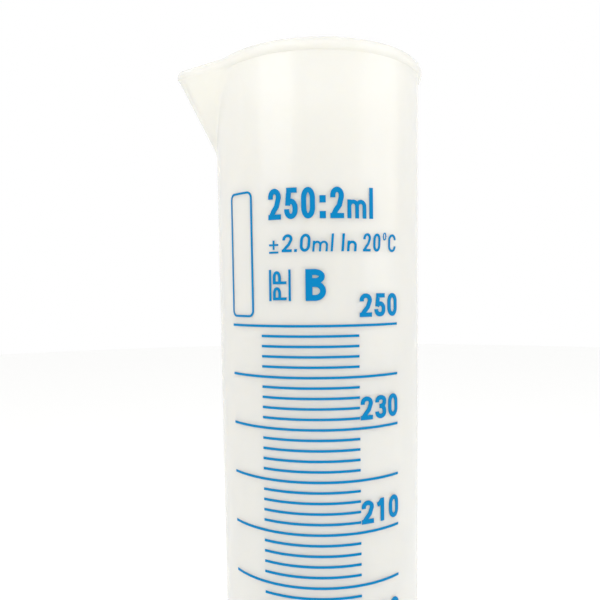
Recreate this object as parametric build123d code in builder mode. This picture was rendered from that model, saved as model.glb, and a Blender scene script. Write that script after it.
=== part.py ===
from build123d import *
from math import atan2, cos, degrees, hypot, pi, radians, sin, sqrt
import os

# Graduated cylinder, 250 ml, moulded in one piece in polypropylene and printed in blue.
# The origin is at the middle of the foot on the table, +Z goes up the tube,
# and the pouring spout points along -X. All lengths are millimetres, all angles degrees.

# Tube
TUBE_FOOT_RADIUS = 17.755
DRAFT = 0.00923
WALL = 1.6
FLOOR_TOP = 12.0
FLOOR_THICKNESS = 2.2
FLOOR_CORNER = 2.0

# Scale
CAPACITY = 250
LOWEST_MARK = 10
LONG_STEP = 10
SHORT_STEP = 2
LABEL_STEP = 20
CUBIC_MM_PER_ML = 1000.0

# Rim and spout
RIM_ABOVE_SCALE = 49.3
BEAD_RADIUS = 1.2
BEAD_INSET = 0.1
SPOUT_OVERHANG = 7.48
SPOUT_SPREAD = 25.15
SPOUT_NOSE = 0.5
SPOUT_DEPTH = 15.0
SPOUT_FLARE = 8.0

# Foot
FOOT_ACROSS_FLATS = 78.0
FOOT_SIDES = 6
FOOT_CORNER = 9.0
FOOT_EDGE = 6.0
FOOT_EDGE_ROUND = 1.2
FOOT_WALL = 2.2
HUB_RADIUS = 34.5
HUB_CLEARANCE = 1.3

# Print: the middle of the scale stands PRINT_TURN short of a quarter turn from the spout.
# A wide outline is cut this far in and out of the surface from its layer of ink.
INK = 0.1
INK_REACH = 1.0
PRINT_TURN = 12.0
LINE_STROKE = 0.45
LONG_LINE = 34.4
SHORT_LINE = 18.1
LABEL_CLEARANCE = 0.15

# Lettering sizes: height, digit width, stroke and gap of each kind
LABEL_PEN = (4.2, 2.45, 0.75, 0.55)
CAPACITY_PEN = (5.45, 2.6, 0.9, 0.55)
TOLERANCE_PEN = (3.0, 1.75, 0.45, 0.55)
GRADE_PEN = (5.6, 3.6, 1.25, 0.6)
PLASTIC_PEN = (2.5, 2.35, 0.6, 0.5)

# Lettering places: left end along the circumference from the scale's middle, and height
# of the lower edge above the capacity line
LABEL_RISE = 1.45
CAPACITY_PLACE = (-7.55, 18.9)
TOLERANCE_PLACE = (-7.65, 13.1)
PLASTIC_PLACE = (-4.5, 4.6)
GRADE_PLACE = (-1.0, 4.45)
CORNER_CUT = 0.3
RULE_HEIGHT = 5.6
RULE_STROKE = 0.4
RULE_PLACES = (-7.6, -3.9)
PANEL_WIDTH = 6.0
PANEL_HEIGHT = 23.0
PANEL_CORNER = 1.2
PANEL_STROKE = 0.4
PANEL_SHIFT = -14.3
PANEL_RISE = 1.5

# How near to a surface an edge must be to count as lying on it
NEARNESS = 0.1


def outer_radius(z):
    """Radius of the tube's outside at a height above the table."""
    return TUBE_FOOT_RADIUS + DRAFT * z


def bore_radius(z):
    """Radius of the tube's inside at a height above the table."""
    return outer_radius(z) - WALL


def mark_height(millilitres):
    """Height at which the tapered bore holds a volume, from the volume of a slice of a cone."""
    floor_radius = bore_radius(FLOOR_TOP)
    volume = millilitres * CUBIC_MM_PER_ML
    top_radius = (floor_radius**3 + 3 * DRAFT * volume / pi) ** (1 / 3)
    return FLOOR_TOP + (top_radius - floor_radius) / DRAFT


SCALE_TOP = mark_height(CAPACITY)
RIM = SCALE_TOP + RIM_ABOVE_SCALE
TUBE_BOTTOM = FLOOR_TOP - FLOOR_THICKNESS

# The bead's centre line runs this far outside the channel, and the channel ends this far
# from the axis
BEAD_OFFSET = BEAD_RADIUS - BEAD_INSET
SPOUT_REACH = outer_radius(RIM) + SPOUT_OVERHANG
CHANNEL_REACH = SPOUT_REACH - BEAD_RADIUS - BEAD_OFFSET

# The spout's flanks leave the tube's rim SPOUT_SPREAD degrees either side of the spout's middle
# and run straight to its tip, so they lean in by this angle, in radians
SPREAD = radians(SPOUT_SPREAD)
SPOUT_SLANT = atan2(outer_radius(RIM) * sin(SPREAD), SPOUT_REACH - outer_radius(RIM) * cos(SPREAD))

# The ridge under the spout is straight, and it starts half a wall inside the tube
SPOUT_FOOT = RIM - SPOUT_DEPTH
RIDGE_SLOPE = (CHANNEL_REACH - bore_radius(SPOUT_FOOT)) / SPOUT_DEPTH
SPOUT_START = SPOUT_FOOT - WALL / 2 / RIDGE_SLOPE
START_REACH = CHANNEL_REACH - RIDGE_SLOPE * (RIM - SPOUT_START)

# The hub's hollow flank is a quarter of an ellipse from the foot plate up to the tube,
# and it ends under the lowest line
HUB_TOP = mark_height(LOWEST_MARK) - LINE_STROKE / 2 - HUB_CLEARANCE
HUB_WIDTH = HUB_RADIUS - outer_radius(HUB_TOP)
HUB_HEIGHT = HUB_TOP - FOOT_EDGE
FOOT_HOLLOW = FOOT_EDGE - FOOT_WALL


def spout_wedge(channel_reach, growth):
    """The spout's outline at one height: two straight flanks and a rounded nose along -X."""
    nose = SPOUT_NOSE + growth
    apex = channel_reach + growth + nose * (1 / sin(SPOUT_SLANT) - 1)
    root_x = -apex * sin(SPOUT_SLANT) ** 2
    root_y = apex * sin(SPOUT_SLANT) * cos(SPOUT_SLANT)
    with BuildSketch() as wedge:
        with BuildLine():
            Polyline((-apex, 0), (root_x, root_y), (root_x, -root_y), close=True)
        make_face()
        fillet(wedge.vertices().sort_by(Axis.X)[0], radius=nose)
    return wedge.sketch


def spout_solid(start_growth, rim_growth):
    """The channel's wedge, opening from a place inside the tube's wall up to the rim, with what
    surrounds it."""
    with BuildPart() as spout:
        with BuildSketch(Plane.XY.offset(SPOUT_START)):
            add(spout_wedge(START_REACH, start_growth))
        with BuildSketch(Plane.XY.offset(RIM)):
            add(spout_wedge(CHANNEL_REACH, rim_growth))
        loft()
    return spout.part


def flare_edges(radius_at):
    """The two creases where the spout's flanks leave the tube's inner or outer surface."""
    creases = []
    for edge in edges().filter_by(GeomType.BSPLINE):
        middle = edge.center()
        off_surface = abs(hypot(middle.X, middle.Y) - radius_at(middle.Z))
        if off_surface < NEARNESS and abs(middle.Y) > SPOUT_NOSE:
            creases.append(edge)
    return creases


# Bead: a round-section ring along the rim, flush with the bore and proud outside. The spout's
# wall thickens up to it, so it only shows round the tube.
with BuildSketch(Plane.XY.offset(RIM)) as rim_outline:
    Circle(bore_radius(RIM) + BEAD_OFFSET)
    add(spout_wedge(CHANNEL_REACH, BEAD_OFFSET))
    fillet(rim_outline.vertices().sort_by(Axis.X)[2:], radius=SPOUT_FLARE)

rim_line = rim_outline.sketch.faces()[0].outer_wire()
with BuildPart() as rim_bead:
    with BuildSketch(Plane(rim_line @ 0, z_dir=rim_line % 0)):
        Circle(BEAD_RADIUS)
    sweep(path=rim_line)

# Body: foot, tube, spout and bead are one moulding
with BuildPart() as cylinder_body:
    # Foot plate: a hexagon with a rounded upper edge
    with BuildSketch():
        RegularPolygon(FOOT_ACROSS_FLATS / 2, FOOT_SIDES, major_radius=False)
        fillet(vertices(), radius=FOOT_CORNER)
    extrude(amount=FOOT_EDGE)
    fillet(faces().sort_by(Axis.Z)[-1].edges(), radius=FOOT_EDGE_ROUND)

    # Hub: a cone with hollow flanks that sweeps up from the foot plate into the tube
    with BuildSketch(Plane.XZ):
        with BuildLine():
            flank = EllipticalCenterArc((HUB_RADIUS, HUB_TOP), HUB_WIDTH, HUB_HEIGHT, 180, arc_size=90)
            Polyline(flank @ 1, (0, FOOT_EDGE), (0, HUB_TOP), flank @ 0)
        make_face()
    revolve(axis=Axis.Z)

    # Hollow under the foot, one wall thick all over, up to the level of the tube's bottom
    with BuildSketch():
        RegularPolygon(FOOT_ACROSS_FLATS / 2 - FOOT_WALL, FOOT_SIDES, major_radius=False)
        fillet(vertices(), radius=FOOT_CORNER - FOOT_WALL)
    extrude(amount=FOOT_HOLLOW, mode=Mode.SUBTRACT)
    with BuildSketch(Plane.XZ):
        with BuildLine():
            hollow_middle = (HUB_RADIUS, HUB_TOP)
            ceiling = EllipticalCenterArc(
                hollow_middle, HUB_WIDTH + FOOT_WALL, HUB_HEIGHT + FOOT_WALL, 180, arc_size=90
            )
            Polyline(ceiling @ 1, (0, FOOT_HOLLOW), (0, HUB_TOP), ceiling @ 0)
        make_face()
        with Locations((0, TUBE_BOTTOM)):
            Rectangle(2 * HUB_RADIUS, HUB_TOP, align=(Align.CENTER, Align.MIN), mode=Mode.SUBTRACT)
    revolve(axis=Axis.Z, mode=Mode.SUBTRACT)

    # Tube and spout, solid until the bore and the spout's channel are cut
    with BuildSketch(Plane.XZ):
        with BuildLine():
            Polyline(
                (0, TUBE_BOTTOM),
                (outer_radius(TUBE_BOTTOM), TUBE_BOTTOM),
                (outer_radius(RIM), RIM),
                (0, RIM),
                close=True,
            )
        make_face()
    revolve(axis=Axis.Z)
    add(spout_solid(WALL, BEAD_OFFSET + BEAD_RADIUS))
    with BuildSketch(Plane.XZ) as bore_profile:
        with BuildLine():
            Polyline(
                (0, FLOOR_TOP),
                (bore_radius(FLOOR_TOP), FLOOR_TOP),
                (bore_radius(RIM), RIM),
                (0, RIM),
                close=True,
            )
        make_face()
        fillet(bore_profile.vertices().sort_by(Axis.X)[-2:].sort_by(Axis.Z)[0], radius=FLOOR_CORNER)
    revolve(axis=Axis.Z, mode=Mode.SUBTRACT)
    add(spout_solid(0, 0), mode=Mode.SUBTRACT)
    fillet(flare_edges(outer_radius), radius=SPOUT_FLARE)
    fillet(flare_edges(bore_radius), radius=SPOUT_FLARE)
    add(rim_bead.part)


def outward(arc, z):
    """Direction straight out of the tube at a place measured round it from the scale's middle."""
    turn = radians(270 - PRINT_TURN) + arc / outer_radius(z)
    return Vector(cos(turn), sin(turn), 0)


def surface_plane(arc, z):
    """The plane that touches the tube at such a place, with X round the tube and Y up it."""
    out = outward(arc, z)
    return Plane(
        out * outer_radius(z) + Vector(0, 0, z),
        x_dir=Vector(-out.Y, out.X, 0),
        z_dir=out - Vector(0, 0, DRAFT),
    )


def bar(left, bottom, right, top, mode=Mode.ADD):
    """A rectangle given by its edges."""
    with Locations(((left + right) / 2, (bottom + top) / 2)):
        Rectangle(right - left, top - bottom, mode=mode)


def eight_sided(left, bottom, right, top, cut, mode=Mode.ADD):
    """A rectangle with its corners cut off at 45 degrees."""
    Polygon(
        (left + cut, bottom),
        (right - cut, bottom),
        (right, bottom + cut),
        (right, top - cut),
        (right - cut, top),
        (left + cut, top),
        (left, top - cut),
        (left, bottom + cut),
        align=None,
        mode=mode,
    )


def bowl(left, bottom, right, top, stroke):
    """A closed ring of even width with cut corners, as in the figure nought."""
    cut = CORNER_CUT * min(right - left, top - bottom)
    inner_cut = cut - (2 - sqrt(2)) * stroke
    eight_sided(left, bottom, right, top, cut)
    eight_sided(left + stroke, bottom + stroke, right - stroke, top - stroke, inner_cut, Mode.SUBTRACT)


def nought(w, h, s):
    bowl(0, 0, w, h, s)


def one(w, h, s):
    stem = 0.75 * w
    bar(stem - s, 0, stem, h)
    Polygon((stem - s, h), (0.05 * w, 0.82 * h), (0.05 * w, 0.68 * h), (stem - s, h - s), align=None)


def two(w, h, s):
    bowl(0, 0.4 * h, w, h, s)
    bar(0, 0.4 * h, w, 0.6 * h, Mode.SUBTRACT)
    bar(0, 0.6 * h, w / 2, 0.67 * h, Mode.SUBTRACT)
    Polygon((w - s, 0.6 * h), (0, s), (1.4 * s, s), (w, 0.6 * h), align=None)
    bar(0, 0, w, s)


def three(w, h, s):
    bowl(0, 0, w, (h + s) / 2, s)
    bowl(0, (h - s) / 2, w, h, s)
    bar(0, 0.3 * h, 0.4 * w, 0.7 * h, Mode.SUBTRACT)


def five(w, h, s):
    bowl(0, 0, w, 0.64 * h, s)
    bar(0, 0.28 * h, s, 0.64 * h, Mode.SUBTRACT)
    bar(0, 0.4 * h, s, h)
    bar(0, h - s, 0.95 * w, h)


def seven(w, h, s):
    bar(0, h - s, w, h)
    Polygon((w - 1.1 * s, h - s), (0.3 * w, 0), (0.3 * w + s, 0), (w, h - s), align=None)


def nine(w, h, s):
    bowl(0, 0, w, h, s)
    bar(0, 0.28 * h, s, 0.5 * h, Mode.SUBTRACT)
    bowl(0, 0.38 * h, w, h, s)


def letter_m(w, h, s):
    x_height = 0.62 * h
    arch = (w + s) / 2
    bowl(0, -x_height, arch, x_height, s)
    bowl(w - arch, -x_height, w, x_height, s)
    bar(0, -x_height, w, 0, Mode.SUBTRACT)
    bar(0, 0, s, x_height)


def letter_l(w, h, s):
    bar(0, 0, w, h)


def colon(w, h, s):
    bar(0, 0, w, 0.25 * h)
    bar(0, 0.5 * h, w, 0.75 * h)


def full_stop(w, h, s):
    bar(0, 0, w, s)


def plus_minus(w, h, s):
    bar(0, 0, w, s)
    bar(0, 0.55 * h - s / 2, w, 0.55 * h + s / 2)
    bar((w - s) / 2, 0.28 * h, (w + s) / 2, 0.82 * h)


def degree(w, h, s):
    bowl(0, h - w, w, h, 0.6 * s)


def letter_c(w, h, s):
    bowl(0, 0, w, h, s)
    bar(w - s, 0.36 * h, w, 0.64 * h, Mode.SUBTRACT)


def letter_b(w, h, s):
    bowl(0, 0, w, (h + s) / 2, s)
    bowl(0, (h - s) / 2, 0.94 * w, h, s)
    bar(0, 0, s, h)
    bar(0, 0, w / 2, s)
    bar(0, h - s, w / 2, h)


def letter_p(w, h, s):
    bowl(0, 0.4 * h, w, h, s)
    bar(0, 0, s, h)
    bar(0, h - s, w / 2, h)


# Each character's drawing and its width as a share of a figure's
CHARACTERS = {
    "0": (nought, 1.0),
    "1": (one, 1.0),
    "2": (two, 1.0),
    "3": (three, 1.0),
    "5": (five, 1.0),
    "7": (seven, 1.0),
    "9": (nine, 1.0),
    "m": (letter_m, 1.42),
    "l": (letter_l, 0.38),
    ":": (colon, 0.4),
    ".": (full_stop, 0.3),
    "±": (plus_minus, 0.95),
    "°": (degree, 0.5),
    "C": (letter_c, 1.15),
    "B": (letter_b, 1.0),
    "P": (letter_p, 1.0),
    " ": (None, 0.5),
}


def text_width(text, pen):
    """Length of a row of characters."""
    _, figure, _, gap = pen
    return sum(CHARACTERS[c][1] * figure + gap for c in text) - gap


def row(text, left, z, pen):
    """Sketches of a row of characters round the tube, each flat on its own plane."""
    height, figure, stroke, gap = pen
    sketches = []
    for character in text:
        draw, share = CHARACTERS[character]
        width = share * figure
        if draw:
            middle = surface_plane(left + width / 2, z)
            corner = middle.from_local_coords((-width / 2, 0, 0))
            with BuildSketch(Plane(corner, x_dir=middle.x_dir, z_dir=middle.z_dir)) as character_sketch:
                draw(width, height, stroke)
            sketches.append(character_sketch.sketch)
        left += width + gap
    return sketches


def column(text, right, z, pen):
    """Sketches of characters that read upwards, one above the other, with their feet to the right."""
    height, figure, stroke, gap = pen
    sketches = []
    for character in text:
        draw, share = CHARACTERS[character]
        middle = surface_plane(right - height / 2, z)
        corner = middle.from_local_coords((height / 2, 0, 0))
        with BuildSketch(Plane(corner, x_dir=middle.y_dir, z_dir=middle.z_dir)) as character_sketch:
            draw(share * figure, height, stroke)
        sketches.append(character_sketch.sketch)
        z += share * figure + gap
    return sketches


def line_section(millilitres, arc):
    """Section of a printed line at the height of a volume, at its left end round the tube."""
    z = mark_height(millilitres)
    low = z - LINE_STROKE / 2
    high = z + LINE_STROKE / 2
    out = outward(arc, z)
    with BuildSketch(Plane((0, 0, 0), x_dir=out, z_dir=Vector(out.Y, -out.X, 0))) as section:
        Polygon(
            (outer_radius(low), low),
            (outer_radius(low) + INK, low),
            (outer_radius(high) + INK, high),
            (outer_radius(high), high),
            align=None,
        )
    return section.sketch


def line_turn(millilitres, length):
    """Degrees round the tube that a printed line of this length takes."""
    return degrees(length / outer_radius(mark_height(millilitres)))


with BuildPart() as ten_ml_lines:
    rings = []
    for volume in range(LOWEST_MARK, CAPACITY + 1, LONG_STEP):
        section = line_section(volume, -LONG_LINE / 2)
        turn = line_turn(volume, LONG_LINE)
        rings.append(revolve(section, axis=Axis.Z, revolution_arc=turn, mode=Mode.PRIVATE))
    add(rings)

# The short lines end just short of the widest number
SHORT_RIGHT = LONG_LINE / 2 - text_width(str(CAPACITY), LABEL_PEN) - LABEL_CLEARANCE
with BuildPart() as two_ml_lines:
    rings = []
    for volume in range(LOWEST_MARK, CAPACITY + 1, SHORT_STEP):
        if volume % LONG_STEP:
            section = line_section(volume, SHORT_RIGHT - SHORT_LINE)
            turn = line_turn(volume, SHORT_LINE)
            rings.append(revolve(section, axis=Axis.Z, revolution_arc=turn, mode=Mode.PRIVATE))
    add(rings)

# Figures above every second long line, flush with its right end
with BuildPart() as scale_numbers:
    figures = []
    for volume in range(LOWEST_MARK, CAPACITY + 1, LABEL_STEP):
        left = LONG_LINE / 2 - text_width(str(volume), LABEL_PEN)
        figures += row(str(volume), left, mark_height(volume) + LABEL_RISE, LABEL_PEN)
    add([extrude(figure, amount=INK, mode=Mode.PRIVATE) for figure in figures])

# Capacity and tolerance, above the scale
with BuildPart() as capacity_marks:
    figures = row("250:2ml", CAPACITY_PLACE[0], SCALE_TOP + CAPACITY_PLACE[1], CAPACITY_PEN)
    figures += row("±2.0 ml 20°C", TOLERANCE_PLACE[0], SCALE_TOP + TOLERANCE_PLACE[1], TOLERANCE_PEN)
    add([extrude(figure, amount=INK, mode=Mode.PRIVATE) for figure in figures])

# Grade letter, and the plastic's letters between two upright rules
with BuildPart() as grade_marks:
    figures = row("B", GRADE_PLACE[0], SCALE_TOP + GRADE_PLACE[1], GRADE_PEN)
    figures += column("PP", PLASTIC_PLACE[0], SCALE_TOP + PLASTIC_PLACE[1], PLASTIC_PEN)
    add([extrude(figure, amount=INK, mode=Mode.PRIVATE) for figure in figures])
    for place in RULE_PLACES:
        with BuildSketch(surface_plane(place, SCALE_TOP + GRADE_PLACE[1])):
            bar(-RULE_STROKE / 2, 0, RULE_STROKE / 2, RULE_HEIGHT)
    extrude(amount=INK)

# Outline of a plain panel to write on, cut from a layer of ink that follows the tube
PANEL_FOOT = SCALE_TOP + PANEL_RISE
PANEL_TOP = PANEL_FOOT + PANEL_HEIGHT
with BuildPart() as writing_panel:
    with BuildSketch(Plane.XZ):
        Polygon(
            (outer_radius(PANEL_FOOT), PANEL_FOOT),
            (outer_radius(PANEL_FOOT) + INK, PANEL_FOOT),
            (outer_radius(PANEL_TOP) + INK, PANEL_TOP),
            (outer_radius(PANEL_TOP), PANEL_TOP),
            align=None,
        )
    revolve(axis=Axis.Z)
    with BuildSketch(surface_plane(PANEL_SHIFT, (PANEL_FOOT + PANEL_TOP) / 2)):
        RectangleRounded(PANEL_WIDTH, PANEL_HEIGHT, PANEL_CORNER)
        inner_width = PANEL_WIDTH - 2 * PANEL_STROKE
        inner_height = PANEL_HEIGHT - 2 * PANEL_STROKE
        RectangleRounded(inner_width, inner_height, PANEL_CORNER - PANEL_STROKE, mode=Mode.SUBTRACT)
    extrude(amount=INK_REACH, both=True, mode=Mode.INTERSECT)

cylinder_body.part.label = "cylinder_body"
ten_ml_lines.part.label = "ten_ml_lines"
two_ml_lines.part.label = "two_ml_lines"
scale_numbers.part.label = "scale_numbers"
capacity_marks.part.label = "capacity_marks"
grade_marks.part.label = "grade_marks"
writing_panel.part.label = "writing_panel"

os.makedirs("parts", exist_ok=True)
export_step(cylinder_body.part, "parts/cylinder_body.step")
export_step(ten_ml_lines.part, "parts/ten_ml_lines.step")
export_step(two_ml_lines.part, "parts/two_ml_lines.step")
export_step(scale_numbers.part, "parts/scale_numbers.step")
export_step(capacity_marks.part, "parts/capacity_marks.step")
export_step(grade_marks.part, "parts/grade_marks.step")
export_step(writing_panel.part, "parts/writing_panel.step")
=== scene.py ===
import math

import bmesh
import bpy
from mathutils import Matrix, Vector


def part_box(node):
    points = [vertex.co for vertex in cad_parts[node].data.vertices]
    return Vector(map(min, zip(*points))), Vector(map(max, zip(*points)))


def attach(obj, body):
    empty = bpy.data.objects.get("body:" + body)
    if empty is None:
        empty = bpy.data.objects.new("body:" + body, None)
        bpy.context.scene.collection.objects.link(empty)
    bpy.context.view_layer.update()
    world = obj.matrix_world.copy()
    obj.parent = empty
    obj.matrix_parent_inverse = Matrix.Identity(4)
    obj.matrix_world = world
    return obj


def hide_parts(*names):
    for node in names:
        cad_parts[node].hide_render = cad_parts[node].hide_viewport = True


bl_info = {
    "name": "Graduated Cylinder",
    "version": (1, 0, 0),
    "blender": (4, 5, 0),
    "location": "View3D > Sidebar > Cylinder",
    "description": "A tall plastic measuring cylinder with a printed scale, on a pale studio floor",
    "category": "Object",
}

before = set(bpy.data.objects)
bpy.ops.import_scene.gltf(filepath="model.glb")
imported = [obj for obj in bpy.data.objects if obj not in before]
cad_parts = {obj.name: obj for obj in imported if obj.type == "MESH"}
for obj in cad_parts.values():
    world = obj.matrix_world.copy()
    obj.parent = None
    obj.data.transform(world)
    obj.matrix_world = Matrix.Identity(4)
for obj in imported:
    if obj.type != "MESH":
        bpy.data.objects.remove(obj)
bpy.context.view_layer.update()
BODY_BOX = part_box("cylinder_body")
LONG_LINES_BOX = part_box("ten_ml_lines")

MM = 0.001
CUBIC_METRES_PER_ML = 1e-6

# The rim's height and the top line's height, taken from the solids
BEAD_RADIUS = 1.2 * MM
LINE_STROKE = 0.45 * MM
RIM = BODY_BOX[1].z - BEAD_RADIUS
SCALE_TOP = LONG_LINES_BOX[1].z - LINE_STROKE / 2


class CylinderShape(bpy.types.PropertyGroup):
    """Sizes of the moulded body"""

    tube_foot_radius: bpy.props.FloatProperty(
        name="Tube radius",
        description="Outside radius at the table",
        default=17.755 * MM,
        unit="LENGTH",
        precision=5,
    )
    draft: bpy.props.FloatProperty(
        name="Draft",
        description="How much the radius grows for each unit of height",
        default=0.00923,
        precision=5,
    )
    wall: bpy.props.FloatProperty(
        name="Wall", description="Thickness of the tube's wall", default=1.6 * MM, unit="LENGTH", precision=5
    )
    floor_top: bpy.props.FloatProperty(
        name="Floor", description="Height of the floor inside", default=12.0 * MM, unit="LENGTH", precision=5
    )
    floor_thickness: bpy.props.FloatProperty(
        name="Floor thickness",
        description="Plastic under the bore",
        default=2.2 * MM,
        unit="LENGTH",
        precision=5,
    )
    floor_corner: bpy.props.FloatProperty(
        name="Floor corner",
        description="Rounding where the bore meets its floor",
        default=2.0 * MM,
        unit="LENGTH",
    )
    bead_inset: bpy.props.FloatProperty(
        name="Bead inset",
        description="How far the bead stands into the bore",
        default=0.1 * MM,
        unit="LENGTH",
    )
    spout_overhang: bpy.props.FloatProperty(
        name="Spout overhang",
        description="From the tube's rim to the spout's tip",
        default=7.48 * MM,
        unit="LENGTH",
    )
    spout_spread: bpy.props.FloatProperty(
        name="Spout spread",
        description="Turn from the spout's middle to where its flanks leave the rim",
        default=math.radians(25.15),
        subtype="ANGLE",
    )
    spout_nose: bpy.props.FloatProperty(
        name="Spout nose",
        description="Rounding of the channel's tip",
        default=0.5 * MM,
        unit="LENGTH",
        precision=5,
    )
    spout_depth: bpy.props.FloatProperty(
        name="Spout depth",
        description="From the rim down to the foot of the ridge",
        default=15.0 * MM,
        unit="LENGTH",
    )
    spout_blend: bpy.props.FloatProperty(
        name="Spout blend",
        description="Width of the soft crease beside the spout",
        default=0.55 * MM,
        unit="LENGTH",
    )
    foot_across_flats: bpy.props.FloatProperty(
        name="Foot across flats", description="Width of the hexagonal foot", default=78.0 * MM, unit="LENGTH"
    )
    foot_corner: bpy.props.FloatProperty(
        name="Foot corner", description="Rounding of the hexagon's corners", default=9.0 * MM, unit="LENGTH"
    )
    foot_edge: bpy.props.FloatProperty(
        name="Foot edge", description="Height of the foot's rim", default=6.0 * MM, unit="LENGTH"
    )
    foot_edge_round: bpy.props.FloatProperty(
        name="Foot edge round",
        description="Rounding of the foot's upper edge",
        default=1.2 * MM,
        unit="LENGTH",
    )
    foot_wall: bpy.props.FloatProperty(
        name="Foot wall", description="Thickness of the hollow foot", default=2.2 * MM, unit="LENGTH"
    )
    hub_radius: bpy.props.FloatProperty(
        name="Hub radius",
        description="Where the hub's flank meets the foot",
        default=34.5 * MM,
        unit="LENGTH",
    )
    hub_top: bpy.props.FloatProperty(
        name="Hub top", description="Where the hub's flank meets the tube", default=22.49 * MM, unit="LENGTH"
    )
    plastic_colour: bpy.props.StringProperty(
        name="Plastic", description="Colour of the natural plastic, as an sRGB hex value", default="FDF7EF"
    )
    cloud_colour: bpy.props.StringProperty(
        name="Clouds",
        description="Colour of the plastic's flow marks, as an sRGB hex value",
        default="FCF4EA",
    )


class PrintLook(bpy.types.PropertyGroup):
    """Sizes and colour of the print"""

    ink: bpy.props.FloatProperty(
        name="Ink", description="Thickness of the ink", default=0.1 * MM, unit="LENGTH", precision=5
    )
    print_turn: bpy.props.FloatProperty(
        name="Print turn",
        description="Turn of the scale's middle from the front towards the spout",
        default=math.radians(12),
        subtype="ANGLE",
    )
    long_line: bpy.props.FloatProperty(
        name="Long line",
        description="Length of the long lines round the tube",
        default=34.4 * MM,
        unit="LENGTH",
    )
    label_rise: bpy.props.FloatProperty(
        name="Label rise", description="From a long line up to its number", default=1.45 * MM, unit="LENGTH"
    )
    ink_colour: bpy.props.StringProperty(
        name="Ink colour", description="Colour of the print, as an sRGB hex value", default="017AB2"
    )
    ink_thin_colour: bpy.props.StringProperty(
        name="Thin ink colour",
        description="Colour where the ink is thin, as an sRGB hex value",
        default="0A83B8",
    )


class StageLook(bpy.types.PropertyGroup):
    """The floor, the light and the camera"""

    floor_radius: bpy.props.FloatProperty(
        name="Floor radius", description="Radius of the round floor", default=3.0, unit="LENGTH"
    )
    backdrop_colour: bpy.props.StringProperty(
        name="Backdrop",
        description="Colour of the floor and backdrop, as an sRGB hex value",
        default="FBFBFA",
    )
    camera_distance: bpy.props.FloatProperty(
        name="Camera distance",
        description="From the tube's axis to the lens",
        default=130.0 * MM,
        unit="LENGTH",
    )
    camera_rise: bpy.props.FloatProperty(
        name="Camera rise",
        description="Height of the lens above the top line",
        default=6.581 * MM,
        unit="LENGTH",
    )
    camera_turn: bpy.props.FloatProperty(
        name="Camera turn",
        description="Turn of the camera's side of the tube from the front towards the spout",
        default=math.radians(8.2),
        subtype="ANGLE",
    )
    camera_pitch: bpy.props.FloatProperty(
        name="Camera pitch", description="Tilt of the view downwards", default=0.01767, subtype="ANGLE"
    )
    camera_yaw: bpy.props.FloatProperty(
        name="Camera yaw",
        description="Turn of the view from the tube's axis",
        default=0.02992,
        subtype="ANGLE",
    )
    camera_roll: bpy.props.FloatProperty(
        name="Camera roll", description="Lean of the view", default=-0.01223, subtype="ANGLE"
    )
    focal_pixels: bpy.props.FloatProperty(
        name="Focal length",
        description="Focal length in pixels of the 600 pixel wide picture",
        default=624.62,
    )


# Width of the picture in pixels, and sides of every hoop of the body
PICTURE_WIDTH = 600
SIDES = 360

# How many hoops follow each part of the body's outline
LOWER_ROUND_HOOPS = 4
EDGE_ROUND_HOOPS = 9
HUB_HOOPS = 25
TUBE_HOOPS = 11
SPOUT_HOOPS = 37
BEAD_UNDER_HOOPS = 9
BEAD_HOOPS = 25
BORE_HOOPS = 12
FLOOR_CORNER_HOOPS = 9
FLOOR_HOOPS = 5
HOLLOW_MIDDLE_HOOPS = 4
HOLLOW_HOOPS = 14

# The spout's close hoops begin this far under its ridge
SPOUT_LEAD = 0.5 * MM

# Points nearer than this are one point of the body or of the print
BODY_MERGE = 0.001 * MM
PRINT_MERGE = 0.0005 * MM

# A stroke of ink is cut into steps no longer than this, so that it bends round the tube.
# The strokes of a letter cross, so each one lies this much higher than the one before.
LONGEST_STEP = 0.5 * MM
STROKE_LIFT = 0.002 * MM
STROKE_LAYERS = 4
SHARPEST_MITRE = 0.6
CLOSED_GAP = 0.0001 * MM

# The scale's numbers, in millilitres
LOWEST_MARK = 10
CAPACITY = 250
LABEL_STEP = 20

# Lettering sizes: height, figure width, stroke and gap of each kind
LABEL_PEN = (4.2 * MM, 2.45 * MM, 0.8 * MM, 0.55 * MM)
CAPACITY_PEN = (5.5 * MM, 2.46 * MM, 0.92 * MM, 0.62 * MM)
TOLERANCE_PEN = (3.15 * MM, 1.85 * MM, 0.5 * MM, 0.42 * MM)
WARMTH_PEN = (3.25 * MM, 1.52 * MM, 0.45 * MM, 0.55 * MM)
GRADE_PEN = (5.6 * MM, 3.6 * MM, 1.05 * MM, 0.6 * MM)
PLASTIC_PEN = (2.6 * MM, 2.35 * MM, 0.52 * MM, 0.5 * MM)

# Rows of marks above the scale: words, left end round the tube, height above the top line, pen and slant
MARK_ROWS = (
    ("250:2ml", -7.7 * MM, 18.9 * MM, CAPACITY_PEN, 0.0),
    ("±", -7.65 * MM, 13.1 * MM, TOLERANCE_PEN, 0.0),
    ("2.0ml", -5.2 * MM, 13.1 * MM, TOLERANCE_PEN, 0.08),
    ("In", 5.3 * MM, 13.1 * MM, TOLERANCE_PEN, 0.08),
    ("20°C", 9.5 * MM, 13.1 * MM, WARMTH_PEN, 0.05),
)
GRADE_PLACE = (-0.95 * MM, 4.45 * MM)
PLASTIC_PLACE = (-4.4 * MM, 4.6 * MM)
RULE_PLACES = (-7.55 * MM, -3.8 * MM)
RULE_HEIGHT = 5.6 * MM
RULE_STROKE = 0.42 * MM

# Soft lights: name, place, size and power
LIGHTS = (
    ("window_light", (-0.9, -0.7, 0.9), 0.9, 4.0),
    ("fill_light", (1.0, -0.5, 0.6), 1.0, 3.5),
)


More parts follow.
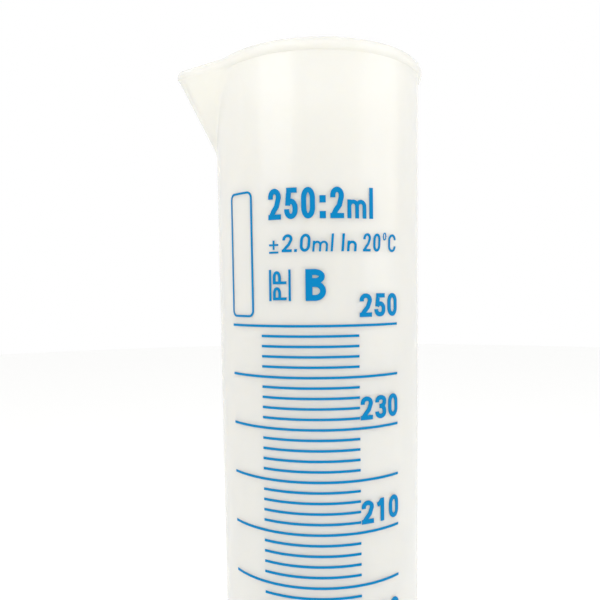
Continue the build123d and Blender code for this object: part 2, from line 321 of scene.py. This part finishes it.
def srgb_to_linear(hex_colour):
    """The linear colour of an sRGB hex value, with alpha 1."""
    channels = [int(hex_colour[i : i + 2], 16) / 255 for i in (0, 2, 4)]
    return [c / 12.92 if c <= 0.04045 else ((c + 0.055) / 1.055) ** 2.4 for c in channels] + [1.0]


def add_node(tree, kind, settings=None, links=None):
    """Adds a node of a kind with its settings and socket values, and links sockets to its inputs."""
    node = tree.nodes.new(kind)
    for key, value in (settings or {}).items():
        if key in node.inputs:
            node.inputs[key].default_value = value
        else:
            setattr(node, key, value)
    for key, source in (links or {}).items():
        tree.links.new(source, node.inputs[key])
    return node


def new_material(name):
    """An empty node material and its tree."""
    material = bpy.data.materials.new(name)
    material.use_nodes = True
    material.node_tree.nodes.clear()
    return material, material.node_tree


def natural_polypropylene(shape):
    """Natural polypropylene, injection moulded: milky and translucent, with a satin skin."""
    material, tree = new_material("moulded_natural_polypropylene")
    place = add_node(tree, "ShaderNodeTexCoord").outputs["Object"]
    # Slow flow marks of the mould, drawn out along the tube: they show as soft clouds in the skin
    stretched = add_node(tree, "ShaderNodeMapping", {"Scale": (1.0, 1.0, 0.12)}, {"Vector": place})
    clouds = add_node(
        tree,
        "ShaderNodeTexNoise",
        {"Scale": 90.0, "Detail": 3.0, "Roughness": 0.5},
        {"Vector": stretched.outputs["Vector"]},
    )
    # Fine grain of the mould's satin finish, drawn at 0.5 mm, coarser than it is so that it shows
    grain = add_node(tree, "ShaderNodeTexNoise", {"Scale": 2000.0, "Detail": 2.0}, {"Vector": place})
    tint = add_node(tree, "ShaderNodeMix", {"data_type": "RGBA"}, {"Factor": clouds.outputs["Fac"]})
    tint.inputs[6].default_value = srgb_to_linear(shape.plastic_colour)
    tint.inputs[7].default_value = srgb_to_linear(shape.cloud_colour)
    satin = add_node(
        tree,
        "ShaderNodeMapRange",
        {"To Min": 0.14, "To Max": 0.24},
        {"Value": clouds.outputs["Fac"]},
    )
    swell = add_node(
        tree,
        "ShaderNodeBump",
        {"Strength": 0.25, "Distance": 0.06 * MM},
        {"Height": clouds.outputs["Fac"]},
    )
    skin = add_node(
        tree,
        "ShaderNodeBump",
        {"Strength": 0.08, "Distance": 0.02 * MM},
        {"Height": grain.outputs["Fac"], "Normal": swell.outputs["Normal"]},
    )
    plastic = add_node(
        tree,
        "ShaderNodeBsdfPrincipled",
        {
            "IOR": 1.49,
            "Transmission Weight": 0.3,
            "Subsurface Weight": 1.0,
            "Subsurface Radius": (1.0, 0.95, 0.85),
            "Subsurface Scale": 3.0 * MM,
        },
        {
            "Base Color": tint.outputs[2],
            "Roughness": satin.outputs["Result"],
            "Normal": skin.outputs["Normal"],
        },
    )
    add_node(tree, "ShaderNodeOutputMaterial", links={"Surface": plastic.outputs["BSDF"]})
    return material


def screen_ink(look):
    """Screen printed ink on polypropylene: solid blue, a little paler where it lies thin."""
    material, tree = new_material("screen_printed_blue_ink")
    place = add_node(tree, "ShaderNodeTexCoord").outputs["Object"]
    # The printing mesh leaves the ink a little uneven, at about 0.4 mm
    uneven = add_node(tree, "ShaderNodeTexNoise", {"Scale": 2500.0, "Detail": 2.0}, {"Vector": place})
    share = add_node(
        tree,
        "ShaderNodeMapRange",
        {"From Min": 0.45, "From Max": 0.8, "To Min": 0.0, "To Max": 0.5},
        {"Value": uneven.outputs["Fac"]},
    )
    tint = add_node(tree, "ShaderNodeMix", {"data_type": "RGBA"}, {"Factor": share.outputs["Result"]})
    tint.inputs[6].default_value = srgb_to_linear(look.ink_colour)
    tint.inputs[7].default_value = srgb_to_linear(look.ink_thin_colour)
    skin = add_node(
        tree,
        "ShaderNodeBump",
        {"Strength": 0.1, "Distance": 0.02 * MM},
        {"Height": uneven.outputs["Fac"]},
    )
    ink = add_node(
        tree,
        "ShaderNodeBsdfPrincipled",
        {"Roughness": 0.4, "IOR": 1.5, "Specular IOR Level": 0.06},
        {"Base Color": tint.outputs[2], "Normal": skin.outputs["Normal"]},
    )
    add_node(tree, "ShaderNodeOutputMaterial", links={"Surface": ink.outputs["BSDF"]})
    return material


def matt_paper(hex_colour):
    """Matt white studio paper: plain and even, without gloss."""
    material, tree = new_material("matt_studio_paper")
    paper = add_node(
        tree,
        "ShaderNodeBsdfPrincipled",
        {"Base Color": srgb_to_linear(hex_colour), "Roughness": 0.9, "Specular IOR Level": 0.1},
    )
    add_node(tree, "ShaderNodeOutputMaterial", links={"Surface": paper.outputs["BSDF"]})
    return material


def deselect_all():
    """Leaves nothing selected, in object mode."""
    if bpy.context.object and bpy.context.object.mode != "OBJECT":
        bpy.ops.object.mode_set(mode="OBJECT")
    bpy.ops.object.select_all(action="DESELECT")


def outer_radius(shape, z):
    """Radius of the tube's outside at a height."""
    return shape.tube_foot_radius + shape.draft * z


def bore_radius(shape, z):
    """Radius of the tube's inside at a height."""
    return outer_radius(shape, z) - shape.wall


def mark_height(shape, millilitres):
    """Height at which the tapered bore holds a volume, from the volume of a slice of a cone."""
    floor_radius = bore_radius(shape, shape.floor_top)
    volume = millilitres * CUBIC_METRES_PER_ML
    top_radius = (floor_radius**3 + 3 * shape.draft * volume / math.pi) ** (1 / 3)
    return shape.floor_top + (top_radius - floor_radius) / shape.draft


def smooth_max(a, b, width):
    """The larger of two lengths, with a soft change from one to the other."""
    near = max(width - abs(a - b), 0) / width
    return max(a, b) + near * near * width / 4


def spout_sizes(shape):
    """The spout's reach and slant at the rim, and the slope and start of the straight ridge under it."""
    rim_radius = outer_radius(shape, RIM)
    tip = rim_radius + shape.spout_overhang
    spread = shape.spout_spread
    slant = math.atan2(rim_radius * math.sin(spread), tip - rim_radius * math.cos(spread))
    channel_reach = tip - 2 * BEAD_RADIUS + shape.bead_inset
    foot = RIM - shape.spout_depth
    slope = (channel_reach - bore_radius(shape, foot)) / shape.spout_depth
    return channel_reach, slant, slope, foot - shape.wall / 2 / slope


def spout_radius(slant, reach, nose, turn):
    """Distance from the axis to the spout's wedge: a round nose between two straight flanks."""
    off_middle = abs(turn)
    if off_middle > math.pi / 2 - slant:
        return 0.0
    centre = reach - nose
    nose_end = math.atan2(nose * math.cos(slant), centre + nose * math.sin(slant))
    if off_middle < nose_end:
        sideways = centre * math.sin(off_middle)
        return centre * math.cos(off_middle) + math.sqrt(max(nose * nose - sideways * sideways, 0))
    apex = centre + nose / math.sin(slant)
    return apex * math.sin(slant) / math.sin(slant + off_middle)


def with_spout(shape, circle, growth, z, turn):
    """Radius of the tube's inner or outer outline at a height, with the spout along -X."""
    channel_reach, slant, slope, _ = spout_sizes(shape)
    reach = channel_reach - slope * (RIM - z)
    off_middle = math.remainder(turn - math.pi, math.tau)
    wedge = spout_radius(slant, reach + growth, shape.spout_nose + growth, off_middle)
    return smooth_max(circle, wedge, shape.spout_blend)


def hexagon_radius(apothem, corner, turn):
    """Distance from the axis to a hexagon with round corners, which has corners along X."""
    off_corner = abs(math.remainder(turn, math.pi / 3))
    off_flat = math.pi / 6 - off_corner
    if apothem * math.tan(off_flat) < (apothem - corner) * math.tan(math.pi / 6):
        return apothem / math.cos(off_flat)
    centre = (apothem - corner) / math.cos(math.pi / 6)
    sideways = centre * math.sin(off_corner)
    return centre * math.cos(off_corner) + math.sqrt(corner * corner - sideways * sideways)


def round_hoop(radius, z):
    """A hoop of one radius."""
    return lambda turn: (radius * math.cos(turn), radius * math.sin(turn), z)


def hexagon_hoop(apothem, corner, z):
    """A hoop along a hexagon with round corners."""

    def place(turn):
        radius = hexagon_radius(apothem, corner, turn)
        return radius * math.cos(turn), radius * math.sin(turn), z

    return place


def wall_radius(shape, z, turn):
    """Radius of the outside, where the spout's wall thickens up to the bead on its rim."""
    start = spout_sizes(shape)[3]
    share = max((z - start) / (RIM - start), 0.0)
    growth = shape.wall + (2 * BEAD_RADIUS - shape.bead_inset - shape.wall) * share
    return with_spout(shape, outer_radius(shape, z), growth, z, turn)


def outside_hoop(shape, z):
    """A hoop on the tube's outside, following the spout."""

    def place(turn):
        radius = wall_radius(shape, z, turn)
        return radius * math.cos(turn), radius * math.sin(turn), z

    return place


def inside_hoop(shape, z):
    """A hoop on the tube's inside, following the spout's channel."""
    circle = bore_radius(shape, z)

    def place(turn):
        radius = with_spout(shape, circle, 0.0, z, turn)
        return radius * math.cos(turn), radius * math.sin(turn), z

    return place


def bead_hoop(shape, section_angle):
    """A hoop along the rim's bead, at an angle round the bead's section from straight out.
    Under the rim it stays outside the spout's thicker wall."""
    offset = BEAD_RADIUS - shape.bead_inset
    circle = bore_radius(shape, RIM) + offset
    step = math.radians(0.05)

    def on_line(turn):
        radius = with_spout(shape, circle, offset, RIM, turn)
        return Vector((radius * math.cos(turn), radius * math.sin(turn), RIM))

    def place(turn):
        along = on_line(turn + step) - on_line(turn - step)
        out = Vector((along.y, -along.x, 0)).normalized()
        across = out * math.cos(section_angle) + Vector((0, 0, 1)) * math.sin(section_angle)
        point = on_line(turn) + across * BEAD_RADIUS
        if section_angle < 0:
            here = math.atan2(point.y, point.x)
            radius = max(math.hypot(point.x, point.y), wall_radius(shape, point.z, here))
            point = Vector((radius * math.cos(here), radius * math.sin(here), point.z))
        return tuple(point)

    return place


def steps(start, end, count):
    """Evenly spaced values from start to end, both included."""
    return [start + (end - start) * i / (count - 1) for i in range(count)]


def foot_hoops(shape):
    """The foot's outside, from its lower edge up the hub's hollow flank to the tube."""
    apothem = shape.foot_across_flats / 2
    lower_round = 0.3 * MM
    hoops = [hexagon_hoop(apothem - shape.foot_wall, shape.foot_corner - shape.foot_wall, 0.0)]
    hoops.append(hexagon_hoop(apothem - lower_round, shape.foot_corner - lower_round, 0.0))
    for angle in steps(0.0, math.pi / 2, LOWER_ROUND_HOOPS)[1:]:
        inset = lower_round * (1 - math.sin(angle))
        z = lower_round * (1 - math.cos(angle))
        hoops.append(hexagon_hoop(apothem - inset, shape.foot_corner - inset, z))
    for angle in steps(0.0, math.pi / 2, EDGE_ROUND_HOOPS):
        inset = shape.foot_edge_round * (1 - math.cos(angle))
        z = shape.foot_edge - shape.foot_edge_round * (1 - math.sin(angle))
        hoops.append(hexagon_hoop(apothem - inset, shape.foot_corner - inset, z))
    width = shape.hub_radius - outer_radius(shape, shape.hub_top)
    height = shape.hub_top - shape.foot_edge
    for angle in steps(math.pi / 2, 0.0, HUB_HOOPS):
        z = shape.hub_top - height * math.sin(angle)
        hoops.append(round_hoop(shape.hub_radius - width * math.cos(angle), z))
    return hoops


def wall_hoops(shape):
    """The tube's outside, the bead and the tube's inside, down to the floor."""
    spout_start = spout_sizes(shape)[3] - SPOUT_LEAD
    bead_offset = BEAD_RADIUS - shape.bead_inset
    outer_meeting = -math.acos((shape.wall - bead_offset) / BEAD_RADIUS)
    inner_meeting = math.tau - math.acos(-bead_offset / BEAD_RADIUS)
    wall_end = RIM + BEAD_RADIUS * math.sin(outer_meeting)
    bore_end = RIM + BEAD_RADIUS * math.sin(inner_meeting)
    heights = steps(shape.hub_top, spout_start, TUBE_HOOPS)[1:]
    heights += steps(spout_start, wall_end, SPOUT_HOOPS)[1:-1]
    hoops = [outside_hoop(shape, z) for z in heights]
    hoops += [bead_hoop(shape, angle) for angle in steps(outer_meeting, 0.0, BEAD_UNDER_HOOPS)]
    hoops += [bead_hoop(shape, angle) for angle in steps(0.0, inner_meeting, BEAD_HOOPS)[1:]]
    heights = steps(bore_end, spout_start, SPOUT_HOOPS)[1:]
    corner_top = shape.floor_top + shape.floor_corner
    heights += steps(spout_start, corner_top, BORE_HOOPS)[1:]
    hoops += [inside_hoop(shape, z) for z in heights]
    corner_radius = bore_radius(shape, corner_top) - shape.floor_corner
    for angle in steps(0.0, math.pi / 2, FLOOR_CORNER_HOOPS)[1:]:
        radius = corner_radius + shape.floor_corner * math.cos(angle)
        hoops.append(round_hoop(radius, corner_top - shape.floor_corner * math.sin(angle)))
    hoops += [round_hoop(radius, shape.floor_top) for radius in steps(corner_radius, 0.0, FLOOR_HOOPS)[1:]]
    return hoops


def hollow_hoops(shape):
    """The hollow under the foot, from its middle out to the foot's inner edge."""
    apothem = shape.foot_across_flats / 2 - shape.foot_wall
    corner = shape.foot_corner - shape.foot_wall
    tube_bottom = shape.floor_top - shape.floor_thickness
    ceiling = shape.foot_edge - shape.foot_wall
    width = shape.hub_radius - outer_radius(shape, shape.hub_top) + shape.foot_wall
    height = shape.hub_top - ceiling
    start = math.asin((shape.hub_top - tube_bottom) / height)
    middle_radius = shape.hub_radius - width * math.cos(start)
    radii = steps(0.0, middle_radius, HOLLOW_MIDDLE_HOOPS)[:-1]
    hoops = [round_hoop(radius, tube_bottom) for radius in radii]
    for angle in steps(start, math.pi / 2, HOLLOW_HOOPS):
        z = shape.hub_top - height * math.sin(angle)
        hoops.append(round_hoop(shape.hub_radius - width * math.cos(angle), z))
    hoops.append(hexagon_hoop(apothem, corner, ceiling))
    hoops.append(hexagon_hoop(apothem, corner, ceiling / 2))
    return hoops


def stack_hoops(name, hoops):
    """A closed skin: a circle is extruded hoop by hoop, and each new hoop is laid on its outline."""
    deselect_all()
    bpy.ops.mesh.primitive_circle_add(vertices=SIDES, radius=1.0)
    piece = bpy.context.object
    piece.name = name
    bpy.ops.object.mode_set(mode="EDIT")
    mesh = bmesh.from_edit_mesh(piece.data)
    turns = mesh.verts.layers.float.new("turn")
    for vertex in mesh.verts:
        vertex[turns] = math.atan2(vertex.co.y, vertex.co.x)
    for number, hoop in enumerate(hoops):
        if number:
            bpy.ops.mesh.extrude_region_move()
            mesh = bmesh.from_edit_mesh(piece.data)
            turns = mesh.verts.layers.float["turn"]
        for vertex in mesh.verts:
            if vertex.select:
                vertex.co = hoop(vertex[turns])
        bmesh.update_edit_mesh(piece.data)
    bpy.ops.mesh.select_all(action="SELECT")
    bpy.ops.mesh.remove_doubles(threshold=BODY_MERGE)
    bpy.ops.mesh.normals_make_consistent(inside=False)
    bpy.ops.object.mode_set(mode="OBJECT")
    piece.data.attributes.remove(piece.data.attributes["turn"])
    return piece


def surface_point(shape, look, arc, z, out=0.0):
    """A point on the tube's outside, by its place round it from the scale's middle and its height."""
    radius = outer_radius(shape, z)
    turn = 1.5 * math.pi - look.print_turn + arc / radius
    return Vector(((radius + out) * math.cos(turn), (radius + out) * math.sin(turn), z))


def curve(cx, cy, rx, ry, start, end):
    """Points along part of an ellipse, from one angle to another in degrees."""
    count = max(int(abs(end - start) / 12), 2) + 1
    turns = [math.radians(angle) for angle in steps(start, end, count)]
    return [(cx + rx * math.cos(turn), cy + ry * math.sin(turn)) for turn in turns]


def loop(left, bottom, right, top, lean):
    """A closed upright loop with round ends and straight sides, the ends taking this share of its height."""
    rx, ry = (right - left) / 2, (top - bottom) * lean
    middle = (left + right) / 2
    points = curve(middle, top - ry, rx, ry, 0, 180) + curve(middle, bottom + ry, rx, ry, 180, 360)
    return points + points[:1]


# Each pen function draws a character from its width, height and stroke, as the middle lines of its strokes
def pen_nought(w, h, s):
    e = s / 2
    return [loop(e, e, w - e, h - e, 0.32)]


def pen_one(w, h, s):
    stem = 0.72 * w - s / 2
    return [[(stem, 0), (stem, h)], [(0.1 * w, 0.745 * h), (0.3 * w, 0.78 * h), (stem - 0.1 * s, 0.93 * h)]]


def pen_two(w, h, s):
    e = s / 2
    top = curve(w / 2, 0.72 * h, w / 2 - e, 0.28 * h - e, 180, -30)
    neck = [(e, 0.66 * h)] + top + [(0.66 * w, 0.42 * h), (0.42 * w, 0.27 * h), (1.15 * e, e)]
    return [neck, [(0, e), (w, e)]]


def pen_three(w, h, s):
    e = s / 2
    top = [(e, 0.7 * h)] + curve(w / 2, 0.755 * h, w / 2 - e, 0.245 * h - e, 180, 0)
    top += curve(w / 2, 0.7 * h, w / 2 - e, 0.17 * h, -15, -90) + [(0.38 * w, 0.53 * h)]
    low = [(0.38 * w, 0.53 * h)] + curve(w / 2, 0.3 * h, w / 2 - e, 0.23 * h, 90, 0)
    low += curve(w / 2, 0.27 * h, w / 2 - e, 0.27 * h - e, -12, -180) + [(e, 0.31 * h)]
    return [top, low]


def pen_five(w, h, s):
    e = s / 2
    stem = [(0.15 * w + e, h - s), (0.08 * w + e, 0.43 * h)]
    bowl = [(0.08 * w + e, 0.45 * h)] + curve(w / 2, 0.34 * h, w / 2 - e, 0.31 * h - e, 120, 0)
    bowl += curve(w / 2, 0.29 * h, w / 2 - e, 0.29 * h - e, -12, -180) + [(e, 0.32 * h)]
    return [[(0.17 * w, h - e), (0.95 * w, h - e)], stem, bowl]


def pen_seven(w, h, s):
    e = s / 2
    stem = [(w - 1.1 * e, h - s), (0.62 * w, 0.55 * h), (0.4 * w, 0.25 * h), (0.34 * w, 0)]
    return [[(0, h - e), (w, h - e)], stem]


def pen_nine(w, h, s):
    e = s / 2
    tail = [(w - e, 0.68 * h)] + curve(w / 2, 0.32 * h, w / 2 - e, 0.32 * h - e, 0, -180) + [(e, 0.33 * h)]
    return [loop(e, 0.36 * h + e, w - e, h - e, 0.45), tail]


def pen_m(w, h, s):
    e, x_height = s / 2, 0.6 * h
    half = (w - s) / 4
    arches = []
    for middle in (e + half, e + 3 * half):
        top = curve(middle, x_height - e - 1.1 * half, half, 1.1 * half, 180, 0)
        arches.append(top + [(middle + half, 0)])
    return [[(e, 0), (e, x_height)]] + arches


def pen_n(w, h, s):
    e, x_height = s / 2, 0.6 * h
    half = w / 2 - e
    top = curve(w / 2, x_height - e - half, half, half, 180, 0)
    return [[(e, 0), (e, x_height)], top + [(w - e, 0)]]


def pen_stem(w, h, s):
    return [[(w / 2, 0), (w / 2, h)]]


def pen_colon(w, h, s):
    return [[(w / 2, 0), (w / 2, 1.15 * s)], [(w / 2, 0.5 * h), (w / 2, 0.5 * h + 1.15 * s)]]


def pen_full_stop(w, h, s):
    return [[(w / 2, 0), (w / 2, s)]]


def pen_plus_minus(w, h, s):
    return [[(0, 0), (w, 0)], [(0, 0.42 * h), (w, 0.42 * h)], [(w / 2, 0.16 * h), (w / 2, 0.68 * h)]]


def pen_degree(w, h, s):
    return [loop(0.15 * w, 0.66 * h, 0.85 * w, 1.04 * h, 0.5)]


def pen_c(w, h, s):
    e = s / 2
    top = [(w - e, 0.67 * h)] + curve(w / 2, 0.68 * h, w / 2 - e, 0.32 * h - e, 0, 180)
    return [top + curve(w / 2, 0.32 * h, w / 2 - e, 0.32 * h - e, 180, 360) + [(w - e, 0.33 * h)]]


def pen_b(w, h, s):
    e = s / 2
    upper = [(e, h - e)] + curve(0.45 * w, 0.765 * h, 0.5 * w - e, 0.235 * h - e, 90, -90)
    upper.append((e, 0.53 * h + e))
    lower = [(e, 0.53 * h)] + curve(0.48 * w, 0.265 * h + e / 2, 0.52 * w - e, 0.265 * h - e / 2, 90, -90)
    lower.append((e, e))
    return [[(e, 0), (e, h)], [(1.35 * e, 0), (1.35 * e, h)], upper, lower]


def pen_p(w, h, s):
    e = s / 2
    bowl = [(e, h - e)] + curve(0.5 * w, 0.7 * h, 0.5 * w - e, 0.3 * h - e, 90, -90)
    bowl.append((e, 0.4 * h + e))
    return [[(e, 0), (e, h)], bowl]


# Each character's strokes, its width as a share of a figure's, and its stroke as a share of the pen's
PEN_STROKES = {
    "0": (pen_nought, 1.0, 1.0),
    "1": (pen_one, 1.0, 1.0),
    "2": (pen_two, 1.0, 1.0),
    "3": (pen_three, 1.0, 1.0),
    "5": (pen_five, 1.0, 1.0),
    "7": (pen_seven, 1.0, 1.0),
    "9": (pen_nine, 1.0, 1.0),
    "m": (pen_m, 1.46, 0.78),
    "n": (pen_n, 0.95, 0.9),
    "l": (pen_stem, 0.32, 0.82),
    "I": (pen_stem, 0.4, 0.9),
    ":": (pen_colon, 0.57, 1.2),
    ".": (pen_full_stop, 0.3, 1.0),
    "±": (pen_plus_minus, 0.97, 0.7),
    "°": (pen_degree, 0.55, 0.45),
    "C": (pen_c, 1.25, 0.95),
    "B": (pen_b, 1.0, 1.0),
    "P": (pen_p, 1.0, 1.0),
    " ": (None, 0.55, 1.0),
}


def stroke_sides(path, width):
    """The right and left edge of a stroke along a path, mitred where the path turns."""
    points = [Vector(path[0])]
    for start, end in zip(path, path[1:]):
        start, end = Vector(start), Vector(end)
        count = max(math.ceil((end - start).length / LONGEST_STEP), 1)
        points += [start.lerp(end, number / count) for number in range(1, count + 1)]
    closed = (points[0] - points[-1]).length < CLOSED_GAP
    sides = []
    for number, point in enumerate(points):
        before = points[number - 1] if number else (points[-2] if closed else None)
        after = points[number + 1] if number + 1 < len(points) else (points[1] if closed else None)
        arriving = (point - before).normalized() if before else (after - point).normalized()
        leaving = (after - point).normalized() if after else arriving
        across = Vector((-arriving.y - leaving.y, arriving.x + leaving.x)).normalized()
        mitre = across / max(across.dot(Vector((-arriving.y, arriving.x))), SHARPEST_MITRE)
        sides.append((point - mitre * width / 2, point + mitre * width / 2))
    return sides


def row_width(words, figure, gap):
    """Length of a row of characters."""
    return sum(PEN_STROKES[c][1] * figure + gap for c in words) - gap


def row_strokes(words, left, bottom, pen, slant=0.0):
    """The strokes of a row of characters, as pairs of edge points round and up the tube."""
    height, figure, stroke, gap = pen
    strokes = []
    for character in words:
        draw, share, weight = PEN_STROKES[character]
        if draw:
            for path in draw(share * figure, height, weight * stroke):
                sides = stroke_sides(path, weight * stroke)
                strokes.append([[(left + p.x + slant * p.y, bottom + p.y) for p in pair] for pair in sides])
        left += share * figure + gap
    return strokes


def turned_up(strokes, right, bottom):
    """The same strokes, reading upwards with their feet to the right."""
    return [[[(right - y, bottom + x) for x, y in pair] for pair in stroke] for stroke in strokes]


def print_strokes(name, shape, look, strokes):
    """Ink strokes on the tube: each is a strip of a grid laid on the surface and given its thickness."""
    deselect_all()
    bpy.ops.mesh.primitive_plane_add(size=1.0)
    piece = bpy.context.object
    piece.name = name
    bpy.ops.object.mode_set(mode="EDIT")
    bpy.ops.mesh.select_all(action="SELECT")
    bpy.ops.mesh.delete(type="VERT")
    for number, stroke in enumerate(strokes):
        lift = (number % STROKE_LAYERS) * STROKE_LIFT
        bpy.ops.mesh.select_all(action="DESELECT")
        bpy.ops.mesh.primitive_grid_add(x_subdivisions=len(stroke) - 1, y_subdivisions=1, size=1.0)
        mesh = bmesh.from_edit_mesh(piece.data)
        for vertex in mesh.verts:
            if vertex.select:
                column = round((vertex.co.x + 0.5) * (len(stroke) - 1))
                arc, z = stroke[column][1 if vertex.co.y > 0 else 0]
                vertex.co = surface_point(shape, look, arc, z, lift)
        bmesh.update_edit_mesh(piece.data)
    bpy.ops.mesh.select_all(action="SELECT")
    bpy.ops.mesh.remove_doubles(threshold=PRINT_MERGE)
    bpy.ops.object.mode_set(mode="OBJECT")
    thicken = piece.modifiers.new("ink", "SOLIDIFY")
    thicken.thickness = look.ink
    thicken.offset = 1.0
    bpy.ops.object.modifier_apply(modifier=thicken.name)
    return piece


def finish_piece(piece, material, node):
    """Gives a piece its material, and puts it in a solid node's place."""
    piece.data.materials.clear()
    piece.data.materials.append(material)
    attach(piece, "root")
    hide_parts(node)


class CYLINDER_OT_body(bpy.types.Operator):
    """Adds the moulded body with its foot, tube, rim bead and pouring spout"""

    bl_idname = "cylinder.body"
    bl_label = "Add moulded body"

    def execute(self, context):
        shape = context.scene.cylinder_shape
        hoops = hollow_hoops(shape) + foot_hoops(shape) + wall_hoops(shape)
        body = stack_hoops("moulded_body", hoops)
        deselect_all()
        body.select_set(True)
        context.view_layer.objects.active = body
        bpy.ops.object.shade_smooth_by_angle(angle=math.radians(40))
        finish_piece(body, natural_polypropylene(shape), "cylinder_body")
        return {"FINISHED"}


class CYLINDER_OT_scale(bpy.types.Operator):
    """Prints the scale's lines, which keep the solids' own shapes"""

    bl_idname = "cylinder.scale"
    bl_label = "Print scale lines"

    def execute(self, context):
        ink = screen_ink(context.scene.print_look)
        for name in ("ten_ml_lines", "two_ml_lines", "writing_panel"):
            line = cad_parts[name]
            line.data.materials.clear()
            line.data.materials.append(ink)
        return {"FINISHED"}


class CYLINDER_OT_lettering(bpy.types.Operator):
    """Prints the numbers beside the scale and the marks above it"""

    bl_idname = "cylinder.lettering"
    bl_label = "Print lettering"

    def execute(self, context):
        shape = context.scene.cylinder_shape
        look = context.scene.print_look
        ink = screen_ink(look)
        numbers = []
        for volume in range(LOWEST_MARK, CAPACITY + 1, LABEL_STEP):
            words = str(volume)
            left = look.long_line / 2 - row_width(words, LABEL_PEN[1], LABEL_PEN[3])
            numbers += row_strokes(words, left, mark_height(shape, volume) + look.label_rise, LABEL_PEN)
        piece = print_strokes("printed_numbers", shape, look, numbers)
        finish_piece(piece, ink, "scale_numbers")
        marks = []
        for words, left, rise, pen, slant in MARK_ROWS:
            marks += row_strokes(words, left, SCALE_TOP + rise, pen, slant)
        piece = print_strokes("printed_capacity", shape, look, marks)
        finish_piece(piece, ink, "capacity_marks")
        grade_foot = SCALE_TOP + GRADE_PLACE[1]
        grade = row_strokes("B", GRADE_PLACE[0], grade_foot, GRADE_PEN)
        upright = row_strokes("PP", 0.0, 0.0, PLASTIC_PEN)
        grade += turned_up(upright, PLASTIC_PLACE[0], SCALE_TOP + PLASTIC_PLACE[1])
        for place in RULE_PLACES:
            rule = stroke_sides([(place, grade_foot), (place, grade_foot + RULE_HEIGHT)], RULE_STROKE)
            grade.append([[(p.x, p.y) for p in pair] for pair in rule])
        piece = print_strokes("printed_grade", shape, look, grade)
        finish_piece(piece, ink, "grade_marks")
        return {"FINISHED"}


class CYLINDER_OT_stage(bpy.types.Operator):
    """Adds the floor, the soft light and the camera"""

    bl_idname = "cylinder.stage"
    bl_label = "Set stage"

    def execute(self, context):
        stage = context.scene.stage_look
        deselect_all()
        bpy.ops.mesh.primitive_circle_add(vertices=128, radius=stage.floor_radius, fill_type="NGON")
        floor = context.object
        floor.name = "studio_floor"
        floor.data.materials.append(matt_paper(stage.backdrop_colour))
        context.scene.view_settings.view_transform = "Standard"
        self.add_world(context)
        for light in LIGHTS:
            self.add_light(context, *light)
        self.add_camera(context, stage)
        return {"FINISHED"}

    def add_world(self, context):
        """Even white light from all round, as in a light tent."""
        world = bpy.data.worlds.new("light_tent")
        world.use_nodes = True
        tree = world.node_tree
        tree.nodes.clear()
        light = add_node(tree, "ShaderNodeBackground", {"Color": (1, 1, 1, 1), "Strength": 1.0})
        add_node(tree, "ShaderNodeOutputWorld", links={"Surface": light.outputs["Background"]})
        context.scene.world = world

    def add_light(self, context, name, place, size, power):
        """A square soft light that points at the middle of the tube."""
        deselect_all()
        target = Vector((0, 0, 0.16))
        towards = (target - Vector(place)).to_track_quat("-Z", "Y").to_euler()
        bpy.ops.object.light_add(type="AREA", location=place, rotation=towards)
        light = context.object
        light.name = name
        light.data.size = size
        light.data.energy = power

    def add_camera(self, context, stage):
        """The photograph's viewpoint, near the top of the scale."""
        deselect_all()
        bpy.ops.object.camera_add()
        camera = context.object
        camera.name = "photo_camera"
        # Right, down and forward in the view before it is tilted, as seen from the front
        level = Matrix(((1, 0, 0), (0, 0, -1), (0, 1, 0)))
        pitch = Matrix.Rotation(stage.camera_pitch, 3, "X")
        yaw = Matrix.Rotation(stage.camera_yaw, 3, "Y")
        roll = Matrix.Rotation(stage.camera_roll, 3, "Z")
        rows = roll @ pitch @ yaw @ level
        axes = Matrix((rows[0], -rows[1], -rows[2])).transposed()
        turn = Matrix.Rotation(-stage.camera_turn, 3, "Z")
        place = turn @ Vector((0, -stage.camera_distance, SCALE_TOP + stage.camera_rise))
        camera.matrix_world = Matrix.Translation(place) @ (turn @ axes).to_4x4()
        camera.data.sensor_width = 36.0
        camera.data.lens = camera.data.sensor_width * stage.focal_pixels / PICTURE_WIDTH
        camera.data.clip_start = 0.01
        context.scene.camera = camera


class CYLINDER_PT_panel(bpy.types.Panel):
    """Lists the steps that build the cylinder"""

    bl_idname = "CYLINDER_PT_panel"
    bl_label = "Graduated Cylinder"
    bl_space_type = "VIEW_3D"
    bl_region_type = "UI"
    bl_category = "Cylinder"

    def draw(self, context):
        for operator in OPERATORS:
            self.layout.operator(operator.bl_idname)
        for group in (context.scene.cylinder_shape, context.scene.print_look, context.scene.stage_look):
            box = self.layout.box()
            for name in group.__annotations__:
                box.prop(group, name)


GROUPS = (CylinderShape, PrintLook, StageLook)
OPERATORS = (CYLINDER_OT_body, CYLINDER_OT_scale, CYLINDER_OT_lettering, CYLINDER_OT_stage)
CLASSES = GROUPS + OPERATORS + (CYLINDER_PT_panel,)


def register():
    for cls in CLASSES:
        bpy.utils.register_class(cls)
    bpy.types.Scene.cylinder_shape = bpy.props.PointerProperty(type=CylinderShape)
    bpy.types.Scene.print_look = bpy.props.PointerProperty(type=PrintLook)
    bpy.types.Scene.stage_look = bpy.props.PointerProperty(type=StageLook)


def unregister():
    del bpy.types.Scene.stage_look
    del bpy.types.Scene.print_look
    del bpy.types.Scene.cylinder_shape
    for cls in reversed(CLASSES):
        bpy.utils.unregister_class(cls)


def main():
    register()
    bpy.ops.cylinder.body()
    bpy.ops.cylinder.scale()
    bpy.ops.cylinder.lettering()
    bpy.ops.cylinder.stage()


if __name__ == "__main__":
    main()
